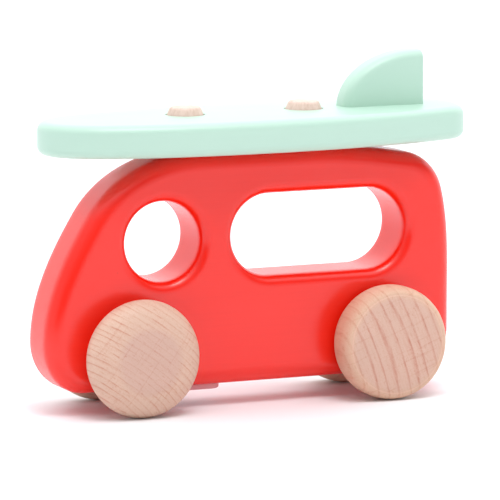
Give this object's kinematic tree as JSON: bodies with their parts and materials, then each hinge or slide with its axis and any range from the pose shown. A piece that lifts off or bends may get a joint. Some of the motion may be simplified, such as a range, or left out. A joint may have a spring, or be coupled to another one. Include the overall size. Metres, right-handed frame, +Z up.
{
  "type": "wooden toy van",
  "caption": "Solid wood toy surf van with cut-through windows, free-rolling wheels and a surfboard that lifts off two roof pegs.",
  "frame": {"origin": "on the floor under the middle of the toy's box", "axes": "+Z up, -X towards the nose, -Y towards the van's left side"},
  "size_m": [0.1586, 0.0534, 0.1195],
  "materials": {
    "red_paint": "translucent red paint, satin",
    "mint_paint": "mint paint, satin",
    "beech": "bare sanded beech",
    "dowel_beech": "bare dowel",
    "pad_rubber": "soft matte"
  },
  "bodies": {
    "van": {"van_body": "red_paint", "belly_pad": "pad_rubber", "front_roof_peg": "beech", "rear_roof_peg": "beech"},
    "surfboard": {"surfboard": "mint_paint", "surfboard_fin": "mint_paint", "front_fin_dowel": "dowel_beech", "rear_fin_dowel": "dowel_beech"},
    "front_wheelset": {"front_axle": "dowel_beech", "front_left_wheel": "beech", "front_right_wheel": "beech"},
    "rear_wheelset": {"rear_axle": "dowel_beech", "rear_left_wheel": "beech", "rear_right_wheel": "beech"}
  },
  "joints": [
    {"name": "surfboard_lift", "type": "slide", "parent": "van", "child": "surfboard", "axis": [0, 0, 1], "range_m": [0, 0.03]},
    {"name": "front_wheels_roll", "type": "hinge", "parent": "van", "child": "front_wheelset", "pos_m": [-0.0483, 0, 0.0203], "axis": [0, 1, 0], "continuous": true},
    {"name": "rear_wheels_roll", "type": "hinge", "parent": "van", "child": "rear_wheelset", "pos_m": [0.0447, 0, 0.0199], "axis": [0, 1, 0], "continuous": true}
  ]
}
